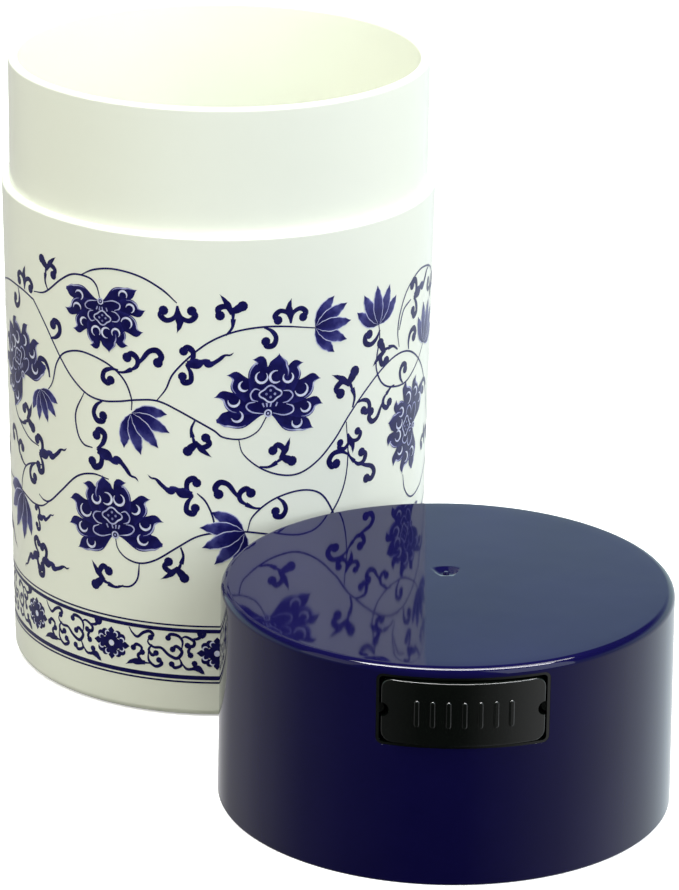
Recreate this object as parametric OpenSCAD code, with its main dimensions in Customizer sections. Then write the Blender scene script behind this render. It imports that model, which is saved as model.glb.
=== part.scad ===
// Airtight spice canister with a printed body and a push-button vacuum cap.
// The canister stands on the origin; the cap lies beside it, its button facing -Y.
// Pressing the button slides a ramp inwards, which lifts a valve off its seat in the cap's plug.

/* [Canister] */
// Outer radius of the wall just under the shoulder
body_r = 42; // [41:0.25:44]
// Outer radius of the wall at the base
base_r = 40.5; // [39.5:0.25:40.5]
// Height of the canister to the rim of its neck
body_h = 121.2; // [110:0.2:140]
// Height of the shoulder that the cap's skirt rests on
shoulder_z = 96.8; // [90:0.2:100]
// Outer radius of the neck
neck_r = 40.5; // [40:0.1:40.5]
// Wall thickness of the neck
neck_wall = 1.8; // [1.6:0.1:2]
// Height of the inside floor above the table
floor_z = 3.5; // [3:0.1:5]

/* [Cap] */
// Height of the cap, which is also the depth that its skirt covers
cap_h = 41.3; // [41.3:0.1:43]
// Outer radius of the skirt at its open edge
cap_r = 41.95; // [41.95:0.05:43]
// Outer radius of the skirt at the top edge
cap_top_r = 41.45; // [41.45:0.05:42.5]
// Where the cap lies beside the canister, along X
cap_x = 40.2; // [40.2:0.1:60]
// Where the cap lies beside the canister, along Y
cap_y = -74.2; // [-90:0.1:-74.2]

/* [Button] */
// Half the width of the button
button_half_w = 14.4; // [13.5:0.1:14.4]
// Travel of the button when it is pressed
button_travel = 2.5; // [1.5:0.1:2.5]

/* [Print] */
// Thickness of the printed transfer film
film_t = 0.12; // [0.1:0.01:0.2]

/* [Hidden] */
$fn = 96;
eps = 0.01;

// Canister wall
mouth_r = neck_r - neck_wall;
base_round = 1.5;
shoulder_round = 0.5;
shoulder_edge_z = shoulder_z - shoulder_round;
lip_round = 0.7;
foot_r = 36;
foot_recess = 1;
foot_pad_r = 9;
floor_round = 2.5;
film_low_z = 6.6;
film_high_z = 94;

// Cap shell
top_t = 1.6;
top_round = 1.2;
skirt_round = 0.4;
ceiling_z = cap_h - top_t;
neck_depth = body_h - shoulder_z;
rim_stop_z = neck_depth + 0.5;
skirt_bore_r = neck_r + 0.25;
upper_bore_r = 39.9;
gate_y = 4.8;
gate_r = 2.2;
gate_depth = 0.5;
gate_nub_r = 0.6;
gate_nub_h = 0.35;

// Plug that hangs inside the neck
plug_r = mouth_r - 0.8;
plug_bore_r = plug_r - 2.7;
plug_low_z = 12;
plug_floor_t = 1.8;
plug_floor_z = plug_low_z + plug_floor_t;
groove_z = 14.6;
groove_h = 4;
groove_depth = 1;
bead_r = 0.55;

// Button window and its surroundings
window_low_z = 26.3;
window_high_z = 39.6;
window_half_w = button_half_w + 0.9;
window_round = 1.2;
bezel_wall_x = 0.55;
bezel_wall_z = 0.45;
button_gap_z = 0.3;
button_low_z = window_low_z + bezel_wall_z + button_gap_z;
button_high_z = window_high_z - bezel_wall_z - button_gap_z;
button_mid_z = (button_low_z + button_high_z) / 2;
button_face_r = 34;
button_proud_y = 42.4;
button_back_y = 36.2;
button_wall = 1.5;
notch_r = 1.3;
spring_x = 10;
pocket_half_w = window_half_w + 1.2;
pocket_low_z = 25;
pocket_wall_y = 33;
pocket_wall_t = 1.6;

// Valve, at this distance in front of the cap's axis
valve_y = -24;
ramp_slope = 0.8;
ramp_top_y = -27.6;
ramp_end_y = -23.2;
ramp_top_z = 33.2;
slide_low_z = 28.7;
pin_r = 0.9;
pin_gap = 0.04;
stem_r = 1.65;
guide_gap = 0.1;
ramp_normal = sqrt(1 + ramp_slope * ramp_slope);
pin_z = ramp_top_z - ramp_slope * (valve_y - ramp_top_y) + (pin_r + pin_gap) * ramp_normal;
seat_z = plug_floor_z + 0.6;
washer_z = seat_z + 0.02;
washer_t = 1.6;
collar_z = 33.8;
collar_t = 1;

// Outer radius of the tapered wall at height z
function wall_r(z) = base_r + (body_r - base_r) * z / shoulder_z;

// Outer radius of the cap's tapered skirt at height z above its open edge
function skirt_r(z) = cap_r + (cap_top_r - cap_r) * z / cap_h;

// Points along an arc in an outline
function arc(centre, r, from, to, steps = 6) =
    [for (i = [0:steps]) let (a = from + (to - from) * i / steps)
        [centre[0] + r * cos(a), centre[1] + r * sin(a)]];

// Bar along Y with rounded edges, between two heights
module rounded_bar(half_w, low_z, high_z, r, front_y, back_y) {
    depth = back_y - front_y;
    translate([-half_w + r, front_y, low_z]) cube([2 * (half_w - r), depth, high_z - low_z]);
    translate([-half_w, front_y, low_z + r]) cube([2 * half_w, depth, high_z - low_z - 2 * r]);
    for (x = [-half_w + r, half_w - r], z = [low_z + r, high_z - r])
        translate([x, front_y, z]) rotate([-90, 0, 0]) cylinder(r = r, h = depth, $fn = 32);
}

// Cylinder that points along +Y
module bar_y(r, front, length) {
    translate([0, front, 0]) rotate([-90, 0, 0]) cylinder(r = r, h = length, $fn = 32);
}

// Round wire wound along +Z: coils of mean radius coil_r, with closed flat-lying ends
module coil(coil_r, wire_r, length, turns) {
    per_turn = 14;
    sides = 6;
    steps = turns * per_turn;
    rise = length - 2 * wire_r;
    rings = [for (i = [0:steps])
        let (a = 360 * i / per_turn, z = wire_r + rise * i / steps)
        [for (k = [0:sides - 1]) let (b = 360 * k / sides, r = coil_r + wire_r * cos(b))
            [r * cos(a), r * sin(a), z + wire_r * sin(b)]]];
    sides_faces = [for (i = [0:steps - 1], k = [0:sides - 1])
        let (a = i * sides + k, b = i * sides + (k + 1) % sides)
        [a, a + sides, b + sides, b]];
    first_cap = [[for (k = [0:sides - 1]) k]];
    last_cap = [[for (k = [sides - 1:-1:0]) steps * sides + k]];
    polyhedron([for (ring = rings, p = ring) p], concat(first_cap, sides_faces, last_cap));
}

module place_cap() {
    translate([cap_x, cap_y, 0]) children();
}

module canister_body() {
    outline = concat(
        [[0, 0], [foot_pad_r, 0], [foot_pad_r + foot_recess, foot_recess],
         [foot_r, foot_recess], [foot_r + foot_recess, 0]],
        arc([wall_r(base_round) - base_round, base_round], base_round, -90, 0),
        arc([wall_r(shoulder_edge_z) - shoulder_round, shoulder_edge_z], shoulder_round, 0, 90),
        [[neck_r, shoulder_z]],
        arc([neck_r - lip_round, body_h - lip_round], lip_round, 0, 90),
        arc([mouth_r + lip_round, body_h - lip_round], lip_round, 90, 180),
        arc([mouth_r - floor_round, floor_z + floor_round], floor_round, 0, -90),
        [[0, floor_z]]
    );
    color("ivory") rotate_extrude() polygon(outline);
}

module print_film() {
    color("midnightblue") rotate_extrude() polygon([
        [wall_r(film_low_z), film_low_z], [wall_r(film_low_z) + film_t, film_low_z],
        [wall_r(film_high_z) + film_t, film_high_z], [wall_r(film_high_z), film_high_z]
    ]);
}

module cap_shell() {
    outline = concat(
        [[skirt_bore_r, 0]],
        arc([cap_r - skirt_round, skirt_round], skirt_round, -90, 0),
        arc([cap_top_r - top_round, cap_h - top_round], top_round, 0, 90),
        [[0, cap_h], [0, ceiling_z], [upper_bore_r, ceiling_z],
         [upper_bore_r, rim_stop_z], [skirt_bore_r, rim_stop_z]]
    );
    boss_r = 4;
    boss_bore_r = 2.9;
    boss_h = 2;
    color("midnightblue") place_cap() {
        difference() {
            rotate_extrude() polygon(outline);
            rounded_bar(window_half_w, window_low_z, window_high_z, window_round, -45, -36);
            translate([0, gate_y, cap_h - gate_depth]) cylinder(r = gate_r, h = 2 * gate_depth);
        }
        translate([0, gate_y, cap_h - gate_depth - eps]) cylinder(r = gate_nub_r, h = gate_nub_h);
        translate([0, valve_y, ceiling_z - boss_h]) difference() {
            cylinder(r = boss_r, h = boss_h + eps);
            translate([0, 0, -1]) cylinder(r = boss_bore_r, h = boss_h + 1);
        }
    }
}

module inner_plug() {
    outline = [
        [0, plug_low_z], [plug_r, plug_low_z], [plug_r, groove_z],
        [plug_r - groove_depth, groove_z], [plug_r - groove_depth, groove_z + groove_h],
        [plug_r, groove_z + groove_h], [plug_r, ceiling_z], [plug_bore_r, ceiling_z],
        [plug_bore_r, plug_floor_z], [0, plug_floor_z]
    ];
    shelf_t = 1.6;
    wall_y = pocket_wall_y - pocket_wall_t;
    color("slategray") place_cap() {
        difference() {
            union() {
                rotate_extrude() polygon(outline);
                intersection() {
                    translate([0, 0, pocket_low_z - shelf_t])
                        cylinder(r = plug_r - 0.5, h = ceiling_z - pocket_low_z + shelf_t);
                    translate([-pocket_half_w - shelf_t, -plug_r, pocket_low_z - shelf_t])
                        cube([2 * (pocket_half_w + shelf_t), plug_r - wall_y,
                              ceiling_z - pocket_low_z + shelf_t]);
                }
                translate([0, valve_y, plug_floor_z - eps]) cylinder(r = 2.3, h = 0.6 + eps);
            }
            translate([-pocket_half_w, -plug_r - 1, pocket_low_z])
                cube([2 * pocket_half_w, plug_r + 1 - pocket_wall_y, 20]);
            translate([-4.8, -pocket_wall_y - 1, slide_low_z - 0.3])
                cube([9.6, pocket_wall_t + 2, ramp_top_z - slide_low_z + 0.6]);
            translate([0, valve_y, plug_low_z - 1]) cylinder(r = 1.5, h = 5, $fn = 32);
        }
        for (x = [-spring_x, spring_x])
            translate([x, 0, button_mid_z]) bar_y(1.1, -pocket_wall_y - 1.2, 1.2 + eps);
    }
}

module seal_ring() {
    base = plug_r - groove_depth;
    color("gainsboro") place_cap() rotate_extrude() union() {
        translate([base, groove_z]) square([groove_depth + 0.2, groove_h]);
        for (z = [groove_z + 1, groove_z + groove_h - 1])
            translate([plug_r + 0.5, z]) circle(r = bead_r, $fn = 32);
    }
}

module button_bezel() {
    inner_half_w = window_half_w - bezel_wall_x;
    rib_r = 0.95;
    color("black") place_cap() difference() {
        union() {
            intersection() {
                translate([0, 0, 20]) cylinder(r1 = skirt_r(20) - 0.05, r2 = skirt_r(40) - 0.05, h = 20);
                rounded_bar(window_half_w, window_low_z, window_high_z, window_round, -45, -37.2);
            }
            difference() {
                intersection() {
                    cylinder(r = upper_bore_r - 0.05, h = ceiling_z - 0.05);
                    translate([-window_half_w - 0.8, -45, pocket_low_z + 0.3])
                        cube([2 * window_half_w + 1.6, 12, ceiling_z - pocket_low_z]);
                }
                translate([0, 0, 20]) cylinder(r = upper_bore_r - 0.9, h = 20);
            }
        }
        difference() {
            rounded_bar(inner_half_w, window_low_z + bezel_wall_z, window_high_z - bezel_wall_z,
                        window_round - bezel_wall_z, -50, -30);
            for (side = [-1, 1])
                translate([side * inner_half_w, 0, button_mid_z]) bar_y(rib_r, -38.3, 5);
        }
    }
}

module valve_housing() {
    flange_r = 6.5;
    tower_r = 5.6;
    chamber_r = 4.2;
    chamber_h = 6.7;
    tower_h = 11.2;
    color("lightgray") place_cap() translate([0, valve_y, plug_floor_z]) difference() {
        union() {
            cylinder(r = flange_r, h = 1.2);
            cylinder(r = tower_r, h = tower_h);
        }
        translate([0, 0, -1]) cylinder(r = chamber_r, h = chamber_h + 1);
        cylinder(r = stem_r + guide_gap, h = tower_h + 1);
        translate([-1.5, -8, 0.4]) cube([3, 16, 4.6]);
    }
}

// Space inside the button's curved front, between its face and an inner skin
module button_curve(skin) {
    translate([0, button_face_r - button_proud_y, 0])
        cylinder(r = button_face_r - skin, h = 60, $fn = 160);
}

module push_button() {
    front_t = 2;
    rib_count = 7;
    rib_pitch = 2.8;
    rib_half_h = 2;
    rib_r = 0.5;
    rib_proud = 0.3;
    color("black") place_cap() difference() {
        union() {
            difference() {
                intersection() {
                    rounded_bar(button_half_w, button_low_z, button_high_z, 0.8, -45, -button_back_y);
                    button_curve(0);
                }
                intersection() {
                    rounded_bar(button_half_w - button_wall - 0.8, button_low_z + button_wall,
                                button_high_z - button_wall, 0.5, -45, -button_back_y + 1);
                    button_curve(front_t);
                }
            }
            for (x = [-spring_x, spring_x])
                translate([x, 0, button_mid_z]) bar_y(1.1, -39.6, 2);
            intersection() {
                button_curve(-rib_proud);
                for (i = [0:rib_count - 1]) let (x = (i - (rib_count - 1) / 2) * rib_pitch) {
                    translate([x - rib_r, -45, button_mid_z - rib_half_h])
                        cube([2 * rib_r, 4, 2 * rib_half_h]);
                    for (side = [-1, 1])
                        translate([x, 0, button_mid_z + side * rib_half_h]) bar_y(rib_r, -45, 4);
                }
            }
        }
        for (side = [-1, 1])
            translate([side * button_half_w, 0, button_mid_z]) bar_y(notch_r, -45, 12);
    }
}

module button_slide() {
    half_w = 4.4;
    slot_half_w = 2;
    slot_end_y = -28.5;
    tip_y = -20.5;
    barb_y = -pocket_wall_y + pocket_wall_t + 0.1;
    ramp_end_z = ramp_top_z - ramp_slope * (ramp_end_y - ramp_top_y);
    front_y = -button_proud_y + 2 + 0.4;
    side_view = [
        [front_y, slide_low_z + 0.4], [front_y, ramp_top_z - 0.4], [-38, ramp_top_z],
        [ramp_top_y, ramp_top_z], [ramp_end_y, ramp_end_z], [tip_y, ramp_end_z],
        [tip_y, slide_low_z], [-38, slide_low_z]
    ];
    color("dimgray") place_cap() {
        difference() {
            rotate([90, 0, 90]) translate([0, 0, -half_w]) linear_extrude(2 * half_w) polygon(side_view);
            translate([-slot_half_w, slot_end_y, slide_low_z - 1]) cube([2 * slot_half_w, 12, 8]);
        }
        for (side = [-1, 1])
            translate([side * (half_w + 0.5) - 0.7, barb_y, slide_low_z + 0.5]) cube([1.4, 1.4, 3.6]);
    }
}

// One of the two coil springs behind the button, at x from its middle
module button_spring(x) {
    length = 5;
    color("silver") place_cap()
        translate([x, -pocket_wall_y - 0.02, button_mid_z]) rotate([90, 0, 0])
            coil(1.6, 0.2, length, 5);
}

module left_button_spring() {
    button_spring(-spring_x);
}

module right_button_spring() {
    button_spring(spring_x);
}

module valve_stem() {
    nose_r = 1;
    nose_h = 1.1;
    flange_z = washer_z + washer_t;
    color("gainsboro") place_cap() translate([0, valve_y, 0]) difference() {
        union() {
            translate([0, 0, flange_z - nose_h]) cylinder(r = nose_r, h = nose_h + eps, $fn = 32);
            translate([0, 0, flange_z]) cylinder(r = 3.2, h = 1);
            translate([0, 0, flange_z]) cylinder(r = stem_r, h = collar_z - flange_z + eps);
            translate([0, 0, collar_z]) cylinder(r = 2.6, h = collar_t);
            translate([0, 0, collar_z]) cylinder(r = 1.3, h = collar_t + 2);
        }
        translate([-5, 0, pin_z]) rotate([0, 90, 0]) cylinder(r = pin_r, h = 10, $fn = 32);
    }
}

module lift_pin() {
    pin_half_l = 4.2;
    color("silver") place_cap() translate([-pin_half_l, valve_y, pin_z]) rotate([0, 90, 0])
        cylinder(r = pin_r, h = 2 * pin_half_l, $fn = 32);
}

module valve_washer() {
    color("dimgray") place_cap() translate([0, valve_y, washer_z]) difference() {
        cylinder(r = 3.4, h = washer_t);
        translate([0, 0, washer_t - 1.1]) cylinder(r = 1, h = 2, $fn = 32);
    }
}

module valve_spring() {
    foot_z = collar_z + collar_t + 0.02;
    color("silver") place_cap() translate([0, valve_y, foot_z])
        coil(2, 0.2, ceiling_z - foot_z - 0.02, 4);
}

canister_body();
print_film();
cap_shell();
inner_plug();
seal_ring();
button_bezel();
valve_housing();
push_button();
button_slide();
left_button_spring();
right_button_spring();
valve_stem();
lift_pin();
valve_washer();
valve_spring();
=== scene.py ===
from math import cos, pi, radians, sin

import bmesh
import bpy
from mathutils import Matrix, Vector


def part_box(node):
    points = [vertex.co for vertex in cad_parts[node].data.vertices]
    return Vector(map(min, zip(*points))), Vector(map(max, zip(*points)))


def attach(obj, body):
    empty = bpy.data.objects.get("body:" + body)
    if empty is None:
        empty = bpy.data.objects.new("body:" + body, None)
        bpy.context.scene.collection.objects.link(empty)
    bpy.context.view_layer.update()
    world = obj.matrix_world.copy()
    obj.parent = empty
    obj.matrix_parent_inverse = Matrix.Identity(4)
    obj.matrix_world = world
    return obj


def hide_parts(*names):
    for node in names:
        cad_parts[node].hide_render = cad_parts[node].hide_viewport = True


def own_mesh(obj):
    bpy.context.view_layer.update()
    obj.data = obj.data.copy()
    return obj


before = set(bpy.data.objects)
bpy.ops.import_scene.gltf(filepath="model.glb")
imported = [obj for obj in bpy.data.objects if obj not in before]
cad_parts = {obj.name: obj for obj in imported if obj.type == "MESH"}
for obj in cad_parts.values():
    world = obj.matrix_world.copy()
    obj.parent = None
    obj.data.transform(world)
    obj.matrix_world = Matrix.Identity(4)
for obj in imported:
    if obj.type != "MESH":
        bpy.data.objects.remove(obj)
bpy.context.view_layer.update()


# --- Camera ---
# Stands in front of the cap's button, a little to its left, and looks down on both
# pieces by 20 degrees through a long lens, as a catalogue picture is taken.
view_target = Vector((0.0240, -0.0013, 0.04135))
view_distance = 0.8667
view_elevation = radians(19.95)
view_azimuth = radians(-3.1)
view_tilt = radians(0.74)
camera_data = bpy.data.cameras.new("camera")
camera_data.lens = 177
camera_data.sensor_width = 36
camera = bpy.data.objects.new("camera", camera_data)
bpy.context.scene.collection.objects.link(camera)
towards_camera = Vector((
    sin(view_azimuth) * cos(view_elevation),
    -cos(view_azimuth) * cos(view_elevation),
    sin(view_elevation),
))
camera.location = view_target + towards_camera * view_distance
facing = (-towards_camera).to_track_quat("-Z", "Y").to_matrix().to_4x4()
camera.rotation_euler = (facing @ Matrix.Rotation(view_tilt, 4, "Z")).to_euler()
bpy.context.scene.camera = camera


# --- Floor ---
# A plain white studio floor that runs out of the picture. It is matt board, lit from
# under so that it stays white. Glossy pieces mirror the surround in its place.
def new_material(name):
    material = bpy.data.materials.new(name)
    material.use_nodes = True
    material.node_tree.nodes.clear()
    return material, material.node_tree.nodes, material.node_tree.links


def ramp_node(nodes, stops):
    """A colour ramp with (position, grey or colour) stops."""
    ramp = nodes.new("ShaderNodeValToRGB")
    steps = ramp.color_ramp.elements
    steps.remove(steps[1])
    for index, (position, colour) in enumerate(stops):
        step = steps.new(position) if index else steps[0]
        step.position = position
        step.color = (*colour, 1) if isinstance(colour, tuple) else (colour, colour, colour, 1)
    return ramp


def floor_material():
    material, nodes, links = new_material("studio_board")
    place = nodes.new("ShaderNodeTexCoord")
    fibre = nodes.new("ShaderNodeTexNoise")
    fibre.inputs["Scale"].default_value = 400
    links.new(place.outputs["Object"], fibre.inputs["Vector"])
    seen = ramp_node(nodes, [(0.3, 0.88), (0.7, 0.92)])
    links.new(fibre.outputs["Fac"], seen.inputs["Fac"])
    path = nodes.new("ShaderNodeLightPath")
    board = nodes.new("ShaderNodeBsdfDiffuse")
    links.new(seen.outputs["Color"], board.inputs["Color"])
    lit = nodes.new("ShaderNodeEmission")
    lit.inputs["Strength"].default_value = 0.45
    white = nodes.new("ShaderNodeAddShader")
    links.new(board.outputs["BSDF"], white.inputs[0])
    links.new(lit.outputs["Emission"], white.inputs[1])
    bounce = nodes.new("ShaderNodeBsdfDiffuse")
    bounce.inputs["Color"].default_value = (0.22, 0.22, 0.20, 1)
    direct = nodes.new("ShaderNodeMixShader")
    links.new(path.outputs["Is Camera Ray"], direct.inputs["Fac"])
    links.new(bounce.outputs["BSDF"], direct.inputs[1])
    links.new(white.outputs["Shader"], direct.inputs[2])
    out = nodes.new("ShaderNodeOutputMaterial")
    links.new(direct.outputs["Shader"], out.inputs["Surface"])
    return material


floor_half_width = 6
floor_mesh = bmesh.new()
bmesh.ops.create_grid(floor_mesh, x_segments=1, y_segments=1, size=floor_half_width)
floor_data = bpy.data.meshes.new("floor")
floor_mesh.to_mesh(floor_data)
floor_mesh.free()
floor_data.materials.append(floor_material())
floor = bpy.data.objects.new("floor", floor_data)
floor.visible_glossy = False
bpy.context.scene.collection.objects.link(floor)


# --- Studio light ---
# A large cool softbox at the front right, a weaker warm one at the front left, two long
# narrow ones overhead, and a pale surround that fills the shadows. Gloss mirrors the
# surround as a bright wall behind, a dark room in front and overhead, and pale side boards.
def softbox(name, place, aim, width, height, power, colour):
    data = bpy.data.lights.new(name, "AREA")
    data.shape = "RECTANGLE"
    data.size = width
    data.size_y = height
    data.energy = power
    data.color = colour
    light = bpy.data.objects.new(name, data)
    light.location = place
    light.rotation_euler = (Vector(aim) - Vector(place)).to_track_quat("-Z", "Y").to_euler()
    bpy.context.scene.collection.objects.link(light)
    return light


light_aim = (0.02, -0.03, 0.05)
softbox("right_softbox", (0.66, -0.76, 0.55), light_aim, 0.7, 0.9, 6.2, (0.90, 1.0, 1.10))
softbox("left_softbox", (-0.9, -0.5, 0.6), light_aim, 0.6, 0.8, 2.0, (1.0, 1.0, 0.80))
softbox("top_softbox", (0.05, -0.12, 1.05), light_aim, 1.3, 0.22, 17.5, (1.0, 1.0, 0.98))
# The edge strip is only mirrored in the rounded edges.
edge_strip = softbox("edge_strip", (0.05, -0.30, 1.0), light_aim, 1.2, 0.18, 34.0, (1, 1, 1))
edge_strip.visible_diffuse = False
surround = bpy.data.worlds.new("surround")
surround.use_nodes = True
nodes, links = surround.node_tree.nodes, surround.node_tree.links
fill = nodes["Background"]
fill.inputs["Color"].default_value = (0.98, 1.0, 0.90, 1)
fill.inputs["Strength"].default_value = 0.49
heading = nodes.new("ShaderNodeTexCoord")
axes = nodes.new("ShaderNodeSeparateXYZ")
links.new(heading.outputs["Generated"], axes.inputs["Vector"])
sky = ramp_node(nodes, [(0.0, (0.64, 0.84, 0.80)), (0.29, (0.66, 0.87, 0.78)),
                        (0.38, (0.33, 0.46, 0.48)), (0.52, (0.03, 0.04, 0.05)),
                        (1.0, (0.03, 0.03, 0.04))])
links.new(axes.outputs["Z"], sky.inputs["Fac"])
bearing = nodes.new("ShaderNodeMath")
bearing.operation = "ARCTAN2"
links.new(axes.outputs["X"], bearing.inputs[0])
links.new(axes.outputs["Y"], bearing.inputs[1])
turned = nodes.new("ShaderNodeMapRange")
turned.inputs["From Min"].default_value = -pi
turned.inputs["From Max"].default_value = pi
links.new(bearing.outputs["Value"], turned.inputs["Value"])
board = ramp_node(nodes, [(0.0, 0.02), (0.06, 0.02), (0.15, 0.08), (0.22, 0.19), (0.28, 0.40),
                          (0.34, 0.44), (0.40, 0.31), (0.5, 0.5), (0.59, (0.76, 0.86, 0.90)),
                          (0.66, (0.87, 0.97, 1.0)), (0.72, (0.91, 0.98, 1.0)),
                          (0.76, (0.82, 0.86, 0.90)), (0.845, 0.39), (0.92, 0.15),
                          (0.98, 0.03), (1.0, 0.02)])
links.new(turned.outputs["Result"], board.inputs["Fac"])
room = ramp_node(nodes, [(0.12, 0.04), (0.30, 1.0), (0.70, 1.0), (0.88, 0.04)])
links.new(turned.outputs["Result"], room.inputs["Fac"])
above = nodes.new("ShaderNodeMix")
above.data_type = "RGBA"
above.blend_type = "MULTIPLY"
above.inputs["Factor"].default_value = 1.0
links.new(sky.outputs["Color"], above.inputs["A"])
links.new(room.outputs["Color"], above.inputs["B"])
below = nodes.new("ShaderNodeMapRange")
below.inputs["From Min"].default_value = 0.0
below.inputs["From Max"].default_value = -0.08
links.new(axes.outputs["Z"], below.inputs["Value"])
around = nodes.new("ShaderNodeMix")
around.data_type = "RGBA"
links.new(below.outputs["Result"], around.inputs["Factor"])
links.new(above.outputs["Result"], around.inputs["A"])
links.new(board.outputs["Color"], around.inputs["B"])
mirrored = nodes.new("ShaderNodeBackground")
mirrored.inputs["Strength"].default_value = 1.6
links.new(around.outputs["Result"], mirrored.inputs["Color"])
path = nodes.new("ShaderNodeLightPath")
either = nodes.new("ShaderNodeMixShader")
links.new(path.outputs["Is Glossy Ray"], either.inputs["Fac"])
links.new(fill.outputs["Background"], either.inputs[1])
links.new(mirrored.outputs["Background"], either.inputs[2])
links.new(either.outputs["Shader"], nodes["World Output"].inputs["Surface"])
bpy.context.scene.world = surround
bpy.context.scene.view_settings.view_transform = "Standard"


# --- Canister body ---
# The white jar itself: one injection-moulded shell of gloss plastic, slightly tapered for
# its draft, with a shoulder that the cap's skirt stops on, a plain straight neck and a
# foot ring round a recessed underside. It was turned out of the mould in one piece.
MM = 0.001
lathe_steps = 256
row_height = 2.5
body_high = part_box("canister_body")[1]
body_top = body_high.z / MM
body_radius = body_high.x / MM
base_radius = 40.5
shoulder_height = 96.8
neck_radius = 40.5
mouth_radius = 38.7
floor_height = 3.5


def lathe(name, corners, centre=(0, 0), closed=False):
    """A turned shape. corners are (radius, height, rounding) in mm, from the inside out."""
    outline = bmesh.new()
    points = [outline.verts.new((x * MM, 0, z * MM)) for x, z, _ in corners]
    pairs = list(zip(points, points[1:])) + ([(points[-1], points[0])] if closed else [])
    for pair in pairs:
        outline.edges.new(pair)
    for point, (_, _, rounding) in zip(points, corners):
        if rounding:
            bmesh.ops.bevel(outline, geom=[point], offset=rounding * MM, offset_type="OFFSET",
                            segments=8, profile=0.5, affect="VERTICES", material=-1)
    for edge in [e for e in outline.edges if e.calc_length() > 2 * row_height * MM]:
        bmesh.ops.subdivide_edges(outline, edges=[edge],
                                  cuts=int(edge.calc_length() / (row_height * MM)))
    bmesh.ops.spin(outline, geom=outline.verts[:] + outline.edges[:], cent=(0, 0, 0),
                   axis=(0, 0, 1), angle=2 * pi, steps=lathe_steps, use_merge=True)
    bmesh.ops.remove_doubles(outline, verts=outline.verts, dist=0.002 * MM)
    bmesh.ops.recalc_face_normals(outline, faces=outline.faces)
    bmesh.ops.translate(outline, verts=outline.verts, vec=(centre[0], centre[1], 0))
    return finished(name, outline)


def finished(name, mesh, crease=35):
    """Makes a bmesh an object at the origin, smooth but for edges sharper than crease."""
    data = bpy.data.meshes.new(name)
    mesh.to_mesh(data)
    mesh.free()
    data.shade_smooth()
    data.set_sharp_from_angle(angle=radians(crease))
    piece = bpy.data.objects.new(name, data)
    bpy.context.scene.collection.objects.link(piece)
    return piece


def crisp(piece):
    """Keeps the shading of large faces flat beside their rounded edges."""
    weighted = piece.modifiers.new("weighted_normals", "WEIGHTED_NORMAL")
    weighted.keep_sharp = True
    weighted.weight = 90


def wall_radius(height):
    """Radius of the tapered wall at a height, both in mm."""
    return base_radius + (body_radius - base_radius) * height / shoulder_height


canister = lathe("canister_wall", [
    (0, 0, 0), (9, 0, 0), (10, 1, 0), (36, 1, 0), (37, 0, 0),
    (wall_radius(0), 0, 1.5),
    (wall_radius(shoulder_height), shoulder_height, 0.5),
    (neck_radius + 0.2, shoulder_height, 0), (neck_radius, shoulder_height + 0.2, 0),
    (neck_radius, body_top, 0.7), (mouth_radius, body_top, 0.7),
    (mouth_radius, floor_height, 2.5), (0, floor_height, 0),
])


def moulding_group():
    """What moulding leaves in a plastic: cloudy tone, fine grain and a slow ripple."""
    group = bpy.data.node_groups.new("moulding_marks", "ShaderNodeTree")
    place = group.nodes.new("ShaderNodeTexCoord")
    out = group.nodes.new("NodeGroupOutput")
    for name, scale, detail in (("Cloud", 35, 3), ("Grain", 2500, 2), ("Ripple", 130, 1)):
        group.interface.new_socket(name, in_out="OUTPUT", socket_type="NodeSocketFloat")
        noise = group.nodes.new("ShaderNodeTexNoise")
        noise.inputs["Scale"].default_value = scale
        noise.inputs["Detail"].default_value = detail
        group.links.new(place.outputs["Object"], noise.inputs["Vector"])
        group.links.new(noise.outputs["Fac"], out.inputs[name])
    return group


def moulded(name, dark, light, roughness, grain=0.02, relief=0.02, ior=1.46, clear=0.0):
    """A plastic or rubber. Its tone drifts from dark to light, its gloss by grain, and its
    surface waves and pits by relief, in mm."""
    material, nodes, links = new_material(name)
    marks = nodes.new("ShaderNodeGroup")
    marks.node_tree = moulding_marks
    tone = ramp_node(nodes, [(0.3, dark), (0.7, light)])
    links.new(marks.outputs["Cloud"], tone.inputs["Fac"])
    gloss = nodes.new("ShaderNodeMath")
    gloss.operation = "MULTIPLY_ADD"
    gloss.inputs[1].default_value = 2 * grain
    gloss.inputs[2].default_value = roughness - grain
    links.new(marks.outputs["Grain"], gloss.inputs[0])
    height = nodes.new("ShaderNodeMath")
    height.operation = "MULTIPLY_ADD"
    height.inputs[1].default_value = 2 * grain
    links.new(marks.outputs["Grain"], height.inputs[0])
    links.new(marks.outputs["Ripple"], height.inputs[2])
    bump = nodes.new("ShaderNodeBump")
    bump.inputs["Distance"].default_value = relief * MM
    links.new(height.outputs["Value"], bump.inputs["Height"])
    shader = nodes.new("ShaderNodeBsdfPrincipled")
    shader.inputs["IOR"].default_value = ior
    shader.inputs["Transmission Weight"].default_value = clear
    links.new(tone.outputs["Color"], shader.inputs["Base Color"])
    links.new(gloss.outputs["Value"], shader.inputs["Roughness"])
    links.new(bump.outputs["Normal"], shader.inputs["Normal"])
    out = nodes.new("ShaderNodeOutputMaterial")
    links.new(shader.outputs["BSDF"], out.inputs["Surface"])
    return material


moulding_marks = moulding_group()
crisp(canister)
canister.data.materials.append(
    moulded("white_gloss_plastic", (0.872, 0.891, 0.795), (0.892, 0.911, 0.820), 0.22,
             ior=1.35))
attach(canister, "canister")
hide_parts("canister_body")


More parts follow.
